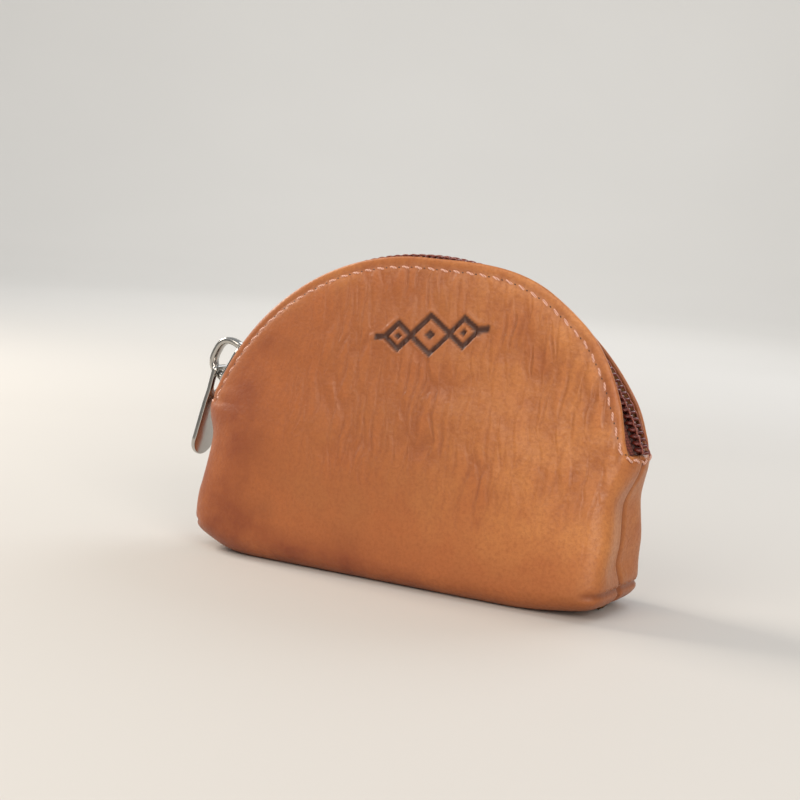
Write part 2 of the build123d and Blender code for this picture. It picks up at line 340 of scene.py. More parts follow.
def settle(points, back):
    """Lets the plain shape slump as a sewn pouch does. Leather and lining slump alike."""
    x, y, z = points[..., 0], points[..., 1], points[..., 2]
    side = np.abs(x)
    shaped = points.copy()
    if not back:
        more_x, more_z = shoulder(x, z)
        shaped[..., 0] += more_x
        shaped[..., 2] += more_z
    # The base's ends curve up off the table, and the -X end is drawn in from the zip down.
    low = np.clip(1 - z / 16.0, 0, 1)
    shaped[..., 2] += END_LIFT * np.where(x < 0, 1.0, 0.55) * smooth((side - 32) / 22) ** 1.3 * low
    foot = np.clip(1 - z / 13.0, 0, 1) ** 1.6
    shaped[..., 0] += np.where(x < 0, 2.6, 0.5) * smooth((side - 38) / 16) * foot
    shaped[..., 0] += 2.2 * smooth((-x - 30) / 22) * smooth((34 - z) / 8)
    shaped[..., 0] -= 1.6 * smooth((x - 49) / 7) * smooth((z - 14) / 12)
    # The panel bellies out low down, and the ends are drawn in beside the seams.
    belly = np.sin(np.pi * np.clip(z / 46, 0, 1)) * np.clip(1 - (x / 54) ** 2, 0, 1)
    shaped[..., 1] -= 0.8 * belly
    at_end = smooth((side - 49) / 4.0)
    hollow = np.exp(-(y / 7.5) ** 2) * smooth((z - 4) / 7) * smooth((32 - z) / 9)
    shaped[..., 0] -= np.sign(x) * 1.9 * hollow * at_end
    return shaped


def dress_panel(points, seed, marked, back):
    """Turns the plain shape of a panel into worked leather. Returns points and its masks, painted
    light and shade among them.
    """
    x, y, z = points[..., 0], points[..., 1], points[..., 2]
    side = np.abs(x)
    shaped = settle(points, back)
    at_end = smooth((side - 51) / 3.0)
    normal = grid_normals(shaped)
    edge = np.where(z > MOUTH_Z - 1, np.hypot(x, np.maximum(z - ARCH_Z, 0)) - ARCH_R, -20.0)
    # Soft unevenness of worn leather, then broad drawn folds over the upper part and +X half.
    lift = sample_noise(points, (24, 30, 20), seed) * 0.5
    lift *= smooth(-edge / 14.0) * smooth((z + 1) / 8)
    drawn = smooth((z - 8) / 26) * smooth((x + 44) / 46) * (1 - 0.8 * at_end)
    patchy = sample_noise(points, (18, 18, 18), seed + 5)
    drawn *= np.clip(0.8 + 0.5 * patchy, 0, 1) * smooth(-edge / 4.0)
    warp = sample_noise(points, (12, 14, 14), seed + 1)
    bent = points + np.stack([warp * 3.5, warp, warp * 1.5], -1)
    lift += drawn * sample_noise(bent, (3.6, 5.0, 8.0), seed + 2) * 0.26
    # Groove pulled in by the topstitching, and the rounded cut edge.
    groove = np.exp(-((edge + STITCH_INSET) / 0.7) ** 2)
    lift -= 0.22 * groove
    lift -= 0.3 * np.clip(1 + edge / 0.5, 0, 1) ** 2
    # Turned seams: the side, the boxed corner, and the middle of the base.
    side_seam = np.exp(-(y / 0.8) ** 2) * at_end * smooth((MOUTH_Z + 0.5 - z) / 2)
    lift -= 0.7 * side_seam
    box_seam = np.exp(-((z - 4.3) / 0.7) ** 2) * smooth((side - 49.5) / 3.0)
    lift -= np.where(x < 0, 0.4, 0.7) * box_seam
    under = np.exp(-(y / 0.9) ** 2) * smooth((3.0 - z) / 2.0)
    lift -= 0.4 * under
    stamp = np.zeros(x.shape)
    if marked:
        stamp = mark_shape(x, z) * smooth((z - 46) / 4)
        lift += 0.2 * (mark_shape(x, z, 1.1) - stamp) - 0.36 * stamp
    shaped += normal * lift[..., None]
    shaped[..., 2] = np.maximum(shaped[..., 2], 0.0)
    shaped[..., 0] += lean(points[..., 2])
    # Painted shade in the seams, the stitching groove and the seam under the base.
    painted_seam_shade = np.clip(side_seam + box_seam + 0.5 * groove + 0.6 * under, 0, 1)
    # Painted light and shade: lighter towards the edge and the +X end, painted shade towards the -X
    # end and the base.
    light = 0.42 + 0.4 * smooth((edge + 7) / 6) + 0.42 * smooth((x + 8) / 52)
    light -= 0.45 * smooth((-x - 18) / 30) + 0.6 * smooth((15 - z) / 16)
    return shaped, {"painted_seam_shade": painted_seam_shade, "stamp": stamp, "drawn": drawn, "light": np.clip(light, 0, 1)}


def link(name, mesh):
    """New object in the scene from a mesh."""
    made = bpy.data.objects.new(name, mesh)
    bpy.context.scene.collection.objects.link(made)
    return made


def store(mesh, label, values):
    """Stores one number for each vertex."""
    attribute = mesh.attributes.new(label, "FLOAT", "POINT")
    attribute.data.foreach_set("value", values.astype(np.float32))


def mend(mesh, weld=0.0):
    """Welds points closer than weld metres, and turns all faces outwards."""
    whole = bmesh.new()
    whole.from_mesh(mesh)
    if weld:
        bmesh.ops.remove_doubles(whole, verts=whole.verts, dist=weld)
    bmesh.ops.recalc_face_normals(whole, faces=whole.faces)
    whole.to_mesh(mesh)
    whole.free()
    return mesh


def thick_shell(name, points, faces, normal, wall, rim, masks):
    """Closed shell: an outer skin, the same skin moved in by wall, and a rounded rim."""
    outer = points.reshape(-1, 3)
    normal = normal.reshape(-1, 3)
    inner = outer - normal * wall
    count = len(outer)
    edges = np.concatenate([faces[:, [k, (k + 1) % 4]] for k in range(4)])
    key = np.sort(edges, 1)
    code = key[:, 0].astype(np.int64) * count + key[:, 1]
    _, first, uses = np.unique(code, return_index=True, return_counts=True)
    border = edges[first[uses == 1]]
    a, b = border[:, 0], border[:, 1]
    on_rim = np.unique(border)
    # Middle of the rim stands a little proud, away from the skin.
    away = np.zeros((count, 3))
    push = np.cross(outer[b] - outer[a], (normal[a] + normal[b]) / 2)
    for end in (a, b):
        np.add.at(away, end, push)
    size = np.linalg.norm(away[on_rim], axis=1, keepdims=True)
    away = away[on_rim] / np.maximum(size, 1e-9)
    middle = (outer[on_rim] + inner[on_rim]) / 2 + away * rim
    slot = np.full(count, -1)
    slot[on_rim] = np.arange(len(on_rim)) + 2 * count
    upper = np.stack([b, a, slot[a], slot[b]], 1)
    under = np.stack([slot[b], slot[a], a + count, b + count], 1)
    every = np.concatenate([faces, faces[:, ::-1] + count, upper, under])
    mesh = bpy.data.meshes.new(name)
    mesh.from_pydata((np.concatenate([outer, inner, middle]) * MM).tolist(), [], every.tolist())
    for label, values in masks.items():
        store(mesh, label, np.concatenate([values.ravel(), np.zeros(count + len(on_rim))]))
    edge_mask = np.concatenate([np.zeros(2 * count), np.ones(len(on_rim))])
    edge_mask[on_rim] = 0.35
    edge_mask[on_rim + count] = 0.6
    store(mesh, "cut_edge", edge_mask)
    store(mesh, "flesh", np.repeat([0.0, 1.0, 0.0], [count, count, len(on_rim)]))
    tidy = bmesh.new()
    tidy.from_mesh(mesh)
    bmesh.ops.remove_doubles(tidy, verts=tidy.verts, dist=1e-6)
    bmesh.ops.dissolve_degenerate(tidy, edges=tidy.edges, dist=1e-7)
    loose = [v for v in tidy.verts if not v.link_faces]
    bmesh.ops.delete(tidy, geom=loose, context="VERTS")
    tidy.to_mesh(mesh)
    tidy.free()
    mesh.shade_smooth()
    return link(name, mesh)


def arch_columns(fine):
    """Places of the columns from the middle to the end of the arch, closer near the mark."""
    angles = np.radians(np.linspace(0, ARCH_END_DEG, int(ARCH_END_DEG / 0.85)))
    xs = ARCH_R * np.sin(angles)
    if not fine:
        return xs[::4] if (len(xs) - 1) % 4 == 0 else np.append(xs[:-1:4], xs[-1])
    close = np.arange(0, 17.0, 0.34)
    return np.concatenate([close, xs[xs > 17.2]])


def leather_panel(name, seed, marked, back, wall):
    """One whole panel of leather, front or back."""
    low = [0, 0.12, 0.45, 1.0, 1.7, 2.3, 2.9, 3.5, 4.1, 4.7, 5.3, 6.0]
    low += list(np.arange(6.7, MOUTH_Z, 0.7)) + [MOUTH_Z]
    # Rows stand closer over the mark, and closest at the cut edge.
    below, above = ((MARK_Z + way * 6.5 - MOUTH_Z) / (HEIGHT - MOUTH_Z) for way in (-1, 1))
    high = np.concatenate([
        np.linspace(0, below, 24)[1:],
        np.linspace(below, above, 38)[1:],
        np.linspace(above, 1, 15)[1:-1],
        [0.985, 0.995, 1.0],
    ])
    points, there = panel_grid(arch_columns(True), 14, low, high, base_rows=12)
    shaped, masks = dress_panel(points, seed, marked, back)
    faces = grid_faces(there)
    if back:
        shaped[..., 1] *= -1
        faces = faces[:, ::-1]
    normal = grid_normals(shaped) * (-1 if back else 1)
    return thick_shell(name, shaped, faces, normal, wall, rim=0.12, masks=masks)


def lining_panel(name, back, inset):
    """Lining behind one panel; it ends under the tape."""
    low = list(np.linspace(0, 5, 5)) + list(np.linspace(8, MOUTH_Z, 9))
    high = np.linspace(0, 0.80, 12)[1:]
    points, there = panel_grid(arch_columns(False) * 0.93, 6, low, high, 4, inset)
    points[..., 2] = np.maximum(points[..., 2], inset)
    # Kept inside the tape's skirt all round the arch.
    reach = np.hypot(points[..., 0], points[..., 2] - ARCH_Z)
    pull = 1 - np.minimum(1, LINING_R / np.maximum(reach, 1))
    pull = 1 - pull * smooth((points[..., 2] - 22) / 12)
    points[..., 0] *= pull
    points[..., 2] = ARCH_Z + (points[..., 2] - ARCH_Z) * pull
    points = settle(points, True)
    puckers = sample_noise(points, (9, 9, 14), 40 + 5 * back) * 0.35
    normal = grid_normals(points)
    points -= normal * np.abs(puckers)[..., None]
    points[..., 0] += lean(points[..., 2])
    faces = grid_faces(there)
    if back:
        points[..., 1] *= -1
        faces = faces[:, ::-1]
        normal = -grid_normals(points)
    return thick_shell(name, points, faces, normal, wall=0.3, rim=0.02, masks={})


# ======================================================================
# Sweeps and rows
# ======================================================================

def on_arc(radius, y, degrees):
    """Point round the zip's arc, counted from straight up towards +X, in millimetres."""
    angle = math.radians(degrees)
    return (ARCH_X + radius * math.sin(angle), y, ARCH_Z + radius * math.cos(angle))


def squared(value, power):
    """Power of a sine or cosine that keeps its sign, for rounded squares."""
    return math.copysign(abs(value) ** power, value)


def round_of(steps):
    """Cosine and sine of equal steps round a turn."""
    for k in range(steps):
        angle = 2 * math.pi * k / steps
        yield math.cos(angle), math.sin(angle)


def closed_sweep(name, rings):
    """Tube through rings of equal size, with capped ends, in millimetres."""
    verts = [tuple(c * MM for c in p) for ring in rings for p in ring]
    size = len(rings[0])
    last = (len(rings) - 1) * size
    faces = []
    for row in range(0, last, size):
        for k in range(size):
            a, b = row + k, row + (k + 1) % size
            faces.append((a, b, b + size, a + size))
    faces.append(tuple(range(size)))
    faces.append(tuple(last + k for k in reversed(range(size))))
    mesh = bpy.data.meshes.new(name)
    mesh.from_pydata(verts, [], faces)
    return mend(mesh)


def tape_section(side):
    """Outline of a tape across the zip, as radius and y, turned down inside the leather."""
    thick = 0.5
    inner = LIP_DEPTH - 1.55
    outer = [
        (0, 0.25), (0, 1.6), (0.05, 3.0), (-0.15, inner - 0.7), (-0.6, inner - 0.15),
        (-1.5, inner), (-4.5, inner), (-7.6, inner + 0.1),
    ]
    back = [(r - thick, y) for r, y in outer[:3]]
    back += [(-0.9, inner - 0.95)] + [(r, y - thick) for r, y in outer[5:]]
    return [(TAPE_TOP + r, side * y) for r, y in outer + back[::-1]]


def path_object(points, outs):
    """Chain of edges in metres that a node tree follows, with the outward direction stored."""
    mesh = bpy.data.meshes.new("path")
    verts = [tuple(c * MM for c in p) for p in points]
    mesh.from_pydata(verts, [(i, i + 1) for i in range(len(verts) - 1)], [])
    attribute = mesh.attributes.new("out", "FLOAT_VECTOR", "POINT")
    attribute.data.foreach_set("vector", [c for out in outs for c in out])
    return link("path", mesh)


def tree_with(name, inputs):
    """Geometry node tree with named inputs, and its input node."""
    tree = bpy.data.node_groups.new(name, "GeometryNodeTree")
    tree.interface.new_socket("Geometry", in_out="INPUT", socket_type="NodeSocketGeometry")
    for label, default in inputs.items():
        socket = tree.interface.new_socket(label, in_out="INPUT", socket_type="NodeSocketFloat")
        socket.default_value = default
    tree.interface.new_socket("Geometry", in_out="OUTPUT", socket_type="NodeSocketGeometry")
    return tree, add(tree, "NodeGroupInput")


def repeat_along(tree, start, shape, slant, material):
    """Ends a tree: shape repeated along a chain, turned to it, made real, with its material."""
    curve = add(tree, "GeometryNodeMeshToCurve", {"Mesh": start})
    spaced = add(
        tree, "GeometryNodeResampleCurve",
        {"Curve": curve, "Length": start.outputs["Pitch"]}, mode="LENGTH",
    )
    tangent = add(tree, "GeometryNodeInputTangent")
    out = add(tree, "GeometryNodeInputNamedAttribute", {"Name": "out"}, data_type="FLOAT_VECTOR")
    along = add(tree, "FunctionNodeAlignRotationToVector", {"Vector": tangent}, axis="X")
    up = add(
        tree, "FunctionNodeAlignRotationToVector",
        {"Rotation": along, "Vector": out}, axis="Z", pivot_axis="X",
    )
    turn = add(tree, "FunctionNodeEulerToRotation", {0: slant})
    turned = add(tree, "FunctionNodeRotateRotation", {0: up, 1: turn}, rotation_space="LOCAL")
    placed = add(
        tree, "GeometryNodeInstanceOnPoints",
        {"Points": spaced, "Instance": shape, "Rotation": turned},
    )
    real = add(tree, "GeometryNodeRealizeInstances", {0: placed})
    smooth_all = add(tree, "GeometryNodeSetShadeSmooth", {0: real})
    dyed = add(tree, "GeometryNodeSetMaterial", {"Geometry": smooth_all, "Material": material})
    add(tree, "NodeGroupOutput", {0: dyed})
    return tree


def stitch_tree(material):
    """Row of slanted stitches, each a short thread that dives into the leather at both ends."""
    tree, start = tree_with(
        "stitch row",
        {"Pitch": 0.0032, "Length": 0.0022, "Radius": 0.0003, "Slant": 0.0, "Dive": 0.0005},
    )
    dive = start.outputs["Dive"]
    half = add(tree, "ShaderNodeMath", {0: start.outputs["Length"], 1: 0.5}, operation="MULTIPLY")
    minus = add(tree, "ShaderNodeMath", {0: half, 1: -1.0}, operation="MULTIPLY")
    down = add(tree, "ShaderNodeMath", {0: dive, 1: -1.0}, operation="MULTIPLY")
    first = add(tree, "ShaderNodeCombineXYZ", {"X": minus, "Z": down})
    crown = add(tree, "ShaderNodeCombineXYZ", {"Z": dive})
    last = add(tree, "ShaderNodeCombineXYZ", {"X": half, "Z": down})
    bow = add(
        tree, "GeometryNodeCurveQuadraticBezier",
        {"Resolution": 6, "Start": first, "Middle": crown, "End": last},
    )
    ring = add(
        tree, "GeometryNodeCurvePrimitiveCircle",
        {"Resolution": 7, "Radius": start.outputs["Radius"]},
    )
    thread = add(
        tree, "GeometryNodeCurveToMesh", {"Curve": bow, "Profile Curve": ring, "Fill Caps": True}
    )
    slant = add(tree, "ShaderNodeCombineXYZ", {"Z": start.outputs["Slant"]})
    return repeat_along(tree, start, thread, slant, material)


def coil_tree(material):
    """Row of coil turns: flattened loops of thick nylon thread, leaning a little along the row."""
    tree, start = tree_with("coil row", {
        "Pitch": 0.0015, "Half Width": 0.0015, "Half Height": 0.0008, "Lean": 0.0004,
        "Thread": 0.00035,
    })
    loop = add(tree, "GeometryNodeCurvePrimitiveCircle", {"Resolution": 14, "Radius": 1.0})
    place = add(tree, "GeometryNodeInputPosition")
    parts = add(tree, "ShaderNodeSeparateXYZ", {0: place}).outputs
    sizes = (("X", "Y", "Lean"), ("Y", "X", "Half Width"), ("Z", "Y", "Half Height"))
    shaped = add(tree, "ShaderNodeCombineXYZ", {
        axis: add(
            tree, "ShaderNodeMath", {0: parts[part], 1: start.outputs[size]}, operation="MULTIPLY"
        )
        for axis, part, size in sizes
    })
    turn = add(tree, "GeometryNodeSetPosition", {"Geometry": loop, "Position": shaped})
    ring = add(
        tree, "GeometryNodeCurvePrimitiveCircle",
        {"Resolution": 6, "Radius": start.outputs["Thread"]},
    )
    tube = add(tree, "GeometryNodeCurveToMesh", {"Curve": turn, "Profile Curve": ring})
    return repeat_along(tree, start, tube, (0.0, 0.0, 0.0), material)


def grow(name, path, tree, values):
    """Runs a tree on a path and keeps the result as a plain mesh object."""
    modifier = path.modifiers.new("grow", "NODES")
    modifier.node_group = tree
    for item in tree.interface.items_tree:
        if item.item_type == "SOCKET" and item.in_out == "INPUT" and item.name in values:
            modifier[item.identifier] = values[item.name]
    bpy.context.view_layer.update()
    shown = path.evaluated_get(bpy.context.evaluated_depsgraph_get())
    mesh = bpy.data.meshes.new_from_object(shown)
    mesh.name = name
    if "out" in mesh.attributes:
        mesh.attributes.remove(mesh.attributes["out"])
    old = path.data
    bpy.data.objects.remove(path)
    bpy.data.meshes.remove(old)
    return link(name, mesh)


def skin_of(*sides):
    """Search tree of the leather on the sides given, in metres."""
    vertices, faces = [], []
    for side in sides:
        leather = bpy.data.objects[side + "_leather"].data
        first = len(vertices)
        vertices += [v.co.copy() for v in leather.vertices]
        faces += [[i + first for i in p.vertices] for p in leather.polygons]
    return BVHTree.FromPolygons(vertices, faces)


def lay_on(skin, guesses, sink):
    """Moves points to the nearest place on a skin, sunk in by sink, with the outward directions.

    skin is a tree of the leather's faces in metres. The guesses are in millimetres.
    """
    points, outs = [], []
    for guess in guesses:
        place, normal, _, _ = skin.find_nearest(Vector(guess) * MM)
        points.append(tuple(place / MM - normal * sink))
        outs.append(normal)
    eased = [
        tuple(sum(outs[max(0, k - 2):k + 3], Vector()).normalized()) for k in range(len(outs))
    ]
    return points, eased


def settled(x, y, z):
    """Places on the plain pouch, in millimetres, moved as the leather is."""
    plain = np.stack(np.broadcast_arrays(*(np.asarray(v, float) for v in (x, y, z))), -1)
    shaped = settle(plain, True)
    shaped[..., 0] += lean(plain[..., 2])
    return [tuple(float(v) for v in p) for p in shaped]


def arch_guesses(start, back):
    """Points along the topstitching of one lip, from start degrees."""
    guesses = []
    for k in range(161):
        x, _, z = on_arc(ARCH_R - STITCH_INSET, 0, start + 2 * STITCH_END_DEG * k / 160)
        if not back:
            more_x, more_z = shoulder(x - ARCH_X, z)
            x, z = x + float(more_x), z + float(more_z)
        guesses.append((x, (1 if back else -1) * (LIP_DEPTH + 2.0), z))
    return guesses


def end_guesses(side, back):
    """Points over one end of the zip, from the topstitching to the tip of the side seam."""
    x_line, y_line, run = section(MOUTH_Z - 2.2, -0.4)
    start = float(np.interp(52.4, x_line, run))
    guesses = []
    for k in range(END_STEPS + 1):
        at = start + (run[-1] - start) * k / END_STEPS
        x, y = float(np.interp(at, run, x_line)), float(np.interp(at, run, y_line))
        z = MOUTH_Z + 0.6 - 2.6 * k / END_STEPS
        guesses.append((float(lean(z)) + side * x, y if back else -y, z))
    return guesses


# ======================================================================
# Metalwork
# ======================================================================

def flat_piece(loops, thick, edge, height=0.0):
    """Plate cut to closed outlines, holes included, with rounded edges, raised by height."""
    curve = bpy.data.curves.new("plate", "CURVE")
    curve.dimensions = "2D"
    curve.fill_mode = "BOTH"
    curve.extrude = (thick / 2 - edge) * MM
    curve.bevel_depth = edge * MM
    curve.bevel_resolution = 3
    curve.offset = -edge * MM
    for loop in loops:
        spline = curve.splines.new("POLY")
        spline.points.add(len(loop) - 1)
        for point, (x, y) in zip(spline.points, loop):
            point.co = (x * MM, y * MM, 0, 1)
        spline.use_cyclic_u = True
    holder = link("plate", curve)
    bpy.context.view_layer.update()
    shown = holder.evaluated_get(bpy.context.evaluated_depsgraph_get())
    mesh = bpy.data.meshes.new_from_object(shown)
    bpy.data.objects.remove(holder)
    bpy.data.curves.remove(curve)
    mend(mesh, 1e-7)
    mesh.transform(Matrix.Translation((0, 0, height * MM)))
    return mesh


def slider_place():
    """Turns what is drawn at the top of the arc, radius upwards, to its place on it."""
    shift = Matrix.Translation((ARCH_X * MM, 0, ARCH_Z * MM))
    return shift @ Matrix.Rotation(math.radians(SLIDER_DEG), 4, "Y")


def plate_outline(half_nose, half_tail, half_length):
    """Slider plate seen from above: wide at the nose, drawn in at the waist."""
    loop = []
    for c, s in round_of(40):
        x = squared(c, 0.55) * half_length
        share = (x / half_length + 1) / 2
        half = half_nose * (1 - share) + half_tail * share
        half -= 0.35 * math.exp(-((share - 0.62) / 0.2) ** 2)
        loop.append((x, squared(s, 0.55) * half))
    return loop


def slider_mesh():
    """Top plate, bottom plate, wedge post and side flanges, drawn at the top of the arc."""
    top_low = COIL_TOP + 0.35
    bottom_high = TAPE_TOP - 1.1
    wedge = [(-5.0, -1.0), (-5.0, 1.0), (-1.9, 0.35), (-1.9, -0.35)]
    parts = [
        flat_piece([plate_outline(3.95, 3.45, 5.5)], 1.2, 0.38, top_low + 0.6),
        flat_piece([plate_outline(3.3, 3.05, 5.3)], 1.1, 0.35, bottom_high - 0.55),
        flat_piece([wedge], top_low - bottom_high + 0.2, 0.15, (bottom_high + top_low) / 2),
    ]
    for side in (-1, 1):
        rail = [(-3.6, side * 3.9), (3.6, side * 3.45), (3.6, side * 2.95), (-3.6, side * 3.3)]
        parts.append(flat_piece([rail], 2.2, 0.2, top_low - 0.75))
    whole = bmesh.new()
    for part in parts:
        whole.from_mesh(part)
        bpy.data.meshes.remove(part)
    made = bpy.data.meshes.new("slider")
    whole.to_mesh(made)
    whole.free()
    return made


def bridge_mesh():
    """Arched loop over the top plate: a flat bar bent into a low arch."""
    foot = COIL_TOP + 1.4
    half_length, rise = 4.75, 6.25
    half_bar, half_thick = 1.25, 0.84
    path = []
    for k in range(25):
        angle = math.pi * k / 24
        c, s = math.cos(angle), math.sin(angle)
        z = foot + rise * s ** 0.62 if s > 1e-6 else foot
        path.append((-squared(c, 0.75) * half_length, z))
    rings = []
    for k, (x, z) in enumerate(path):
        ahead = path[min(k + 1, len(path) - 1)]
        behind = path[max(k - 1, 0)]
        run = Vector((ahead[0] - behind[0], 0, ahead[1] - behind[1])).normalized()
        out = Vector((-run.z, 0, run.x))
        rings.append([
            tuple(Vector((x, 0, z)) + out * (squared(s, 0.7) * half_thick)
                  + Vector((0, squared(c, 0.6) * half_bar, 0)))
            for c, s in round_of(16)
        ])
    return closed_sweep("bridge", rings)


def arc(cx, cy, r, start, end, steps):
    """Points on a flat arc, from start to end degrees."""
    turns = [math.radians(start + (end - start) * k / steps) for k in range(steps + 1)]
    return [(cx + r * math.cos(t), cy + r * math.sin(t)) for t in turns]


def tab_mesh():
    """Flat pull tab with an eye, drawn hanging down from its cross bar, width along Y."""
    outline = arc(1.5, -0.75, 1.4, 90, 0, 6)
    outline += [(2.95, -5.7), (3.4, -8.7)]
    outline += arc(0, -18.5, 4.0, 12, -192, 26)
    outline += [(-3.4, -8.7), (-2.95, -5.7)]
    outline += arc(-1.5, -0.75, 1.4, 180, 90, 6)
    eye = arc(0, -4.35, 1.65, 0, -180, 12)
    eye += arc(-1.0, -1.2, 0.65, 180, 90, 4) + arc(1.0, -1.2, 0.65, 90, 0, 4)
    blade = flat_piece([outline, eye], thick=1.2, edge=0.3)
    # Outline x runs along Y, outline y runs along Z.
    blade.transform(Matrix(((0, 0, 1, 0), (1, 0, 0, 0), (0, 1, 0, 0), (0, 0, 0, 1))))
    return blade


# ======================================================================
# Materials
# ======================================================================

COLOURS = {
    "tan": "#A85F2F",
    # The tan under painted light, then under painted shade.
    "tan_lit": "#C98346",
    "tan_shaded": "#7E3A1A",
    "tan_deep": "#854319",
    # Painted shade in the fold valleys and the seams.
    "tan_crease_shade": "#743A1B",
    "stamp": "#43200F",
    "cut_edge": "#8A4E2A",
    "flesh": "#9A6A44",
    "thread": "#E2B4A0",
    "thread_deep": "#B97E68",
    # Painted shade of the stitch holes.
    "hole_shade": "#2E140B",
    "hole_shade_deep": "#2E140B",
    "seam": "#A9683C",
    "seam_deep": "#7E4825",
    "tape": "#944838",
    "tape_deep": "#5E261B",
    "coil": "#74291D",
    "coil_deep": "#4A160F",
    "coil_thread": "#9E5A4A",
    "coil_thread_deep": "#6E3428",
    "lining": "#6B4A36",
    "lining_deep": "#4D3325",
    "nickel": "#B9B6B1",
    "floor": "#CBC8C3",
    "floor_deep": "#C4C1BC",
}


def dye(key):
    """Linear values of a colour in the list."""
    return linear(COLOURS[key])


def new_material(name):
    """Empty node material. Returns it, its tree, its shader and the place on the object."""
    material = bpy.data.materials.new(name)
    material.use_nodes = True
    tree = material.node_tree
    tree.nodes.clear()
    shader = add(tree, "ShaderNodeBsdfPrincipled")
    add(tree, "ShaderNodeOutputMaterial", {"Surface": shader})
    place = add(tree, "ShaderNodeTexCoord").outputs["Object"]
    return material, tree, shader, place


def drawn_leather(tan):
    """Vegetable-tanned cowhide, drum-milled until its grain drew up, dyed through and waxed.

    The eye gets a warm tan with cloudy patches under painted light and painted shade, soft drawn
    folds that run up the panel with painted shade in their valleys, fine pebbles with a waxy glint,
    painted shade along the seams, and a darker cut edge.
    """
    material, tree, shader, place = new_material("drawn_tan_leather")
    mask = {
        name: add(tree, "ShaderNodeAttribute", attribute_name=name).outputs["Fac"]
        for name in ("light", "drawn", "painted_seam_shade", "stamp", "cut_edge", "flesh")
    }
    # Cloudy dye: patches about 15 mm across, broken up by 4 mm ones.
    clouds = add(
        tree, "ShaderNodeTexNoise",
        {"Vector": place, "Scale": 70.0, "Detail": 5.0, "Roughness": 0.62},
    )
    cloudy = add(
        tree, "ShaderNodeMapRange", {"Value": clouds, "From Min": 0.34, "From Max": 0.68}
    )
    # Hair pores about 0.4 mm apart, drawn twice as coarse so that they show.
    pores = add(
        tree, "ShaderNodeTexNoise",
        {"Vector": place, "Scale": 1300.0, "Detail": 3.0, "Roughness": 0.7},
    )
    speck = add(
        tree, "ShaderNodeMapRange",
        {"Value": pores, "From Min": 0.42, "From Max": 0.72, "To Max": 0.42},
    )
    # Drawn folds: cells about 2.5 mm wide and 12 mm tall, bent by slow noise.
    slow = add(tree, "ShaderNodeTexNoise", {"Vector": place, "Scale": 85.0, "Detail": 2.0})
    off = add(
        tree, "ShaderNodeVectorMath",
        {0: slow.outputs["Color"], 1: (0.5, 0.5, 0.5)}, operation="SUBTRACT",
    )
    off = add(tree, "ShaderNodeVectorMath", {0: off, "Scale": 0.0045}, operation="SCALE")
    bent = add(tree, "ShaderNodeVectorMath", {0: place, 1: off}, operation="ADD")
    tall = add(
        tree, "ShaderNodeMapping",
        {"Vector": bent, "Rotation": (0, math.radians(-5), 0), "Scale": (1, 0.25, 0.2)},
    )
    cells = add(
        tree, "ShaderNodeTexVoronoi", {"Vector": tall, "Scale": 400.0}, feature="DISTANCE_TO_EDGE"
    )
    fold = add(
        tree, "ShaderNodeMapRange",
        {"Value": cells.outputs["Distance"], "From Max": 0.26}, interpolation_type="SMOOTHSTEP",
    )
    valley = add(tree, "ShaderNodeMath", {0: 1.0, 1: fold}, operation="SUBTRACT")
    patch = add(
        tree, "ShaderNodeMapRange",
        {"Value": clouds, "From Min": 0.4, "From Max": 0.6, "To Min": 0.35, "To Max": 1.0},
    )
    drawn = add(tree, "ShaderNodeMath", {0: mask["drawn"], 1: patch}, operation="MULTIPLY")
    valley = add(tree, "ShaderNodeMath", {0: valley, 1: drawn}, operation="MULTIPLY")
    # Painted shade in the valleys of the drawn folds.
    fold_shade = add(tree, "ShaderNodeMath", {0: valley, 1: 0.42}, operation="MULTIPLY")
    # Painted shade in the seams and the stitching groove.
    dark = add(tree, "ShaderNodeMath", {0: mask["painted_seam_shade"], 1: 0.7}, operation="MULTIPLY")
    # Colours laid over each other, lowest first: the tan under painted shade, then painted light,
    # the dye clouds, the pores, painted shade in the folds and seams, the mark, the cut edge and
    # the flesh side.
    base = dye("tan_shaded")
    for factor, colour in (
        (mask["light"], dye("tan_lit")),
        (cloudy, tan),
        (speck, dye("tan_deep")),
        (fold_shade, dye("tan_crease_shade")),
        (dark, dye("tan_crease_shade")),
        (mask["stamp"], dye("stamp")),
        (mask["cut_edge"], dye("cut_edge")),
        (mask["flesh"], dye("flesh")),
    ):
        values = {0: factor, 6: base, 7: colour}
        base = add(tree, "ShaderNodeMix", values, data_type="RGBA").outputs[2]
    # Pebbled grain about 0.9 mm across over everything, with the folds under it.
    sink = add(tree, "ShaderNodeMath", {0: valley, 1: -1.0}, operation="MULTIPLY")
    broad = add(
        tree, "ShaderNodeBump", {"Height": sink, "Strength": 0.85, "Distance": 0.00042}
    )
    pebble = add(
        tree, "ShaderNodeTexVoronoi", {"Vector": bent, "Scale": 1150.0}, feature="SMOOTH_F1"
    )
    grain = add(
        tree, "ShaderNodeMath",
        {0: pebble.outputs["Distance"], 1: -0.8, 2: pores}, operation="MULTIPLY_ADD",
    )
    fine = add(
        tree, "ShaderNodeBump",
        {"Height": grain, "Strength": 0.5, "Distance": 0.00013, "Normal": broad},
    )
    gloss = add(
        tree, "ShaderNodeMapRange",
        {"Value": pores, "From Min": 0.3, "From Max": 0.7, "To Min": 0.36, "To Max": 0.5},
    )
    fill(shader, {"Base Color": base, "Normal": fine, "Roughness": gloss, "IOR": 1.5})
    return material


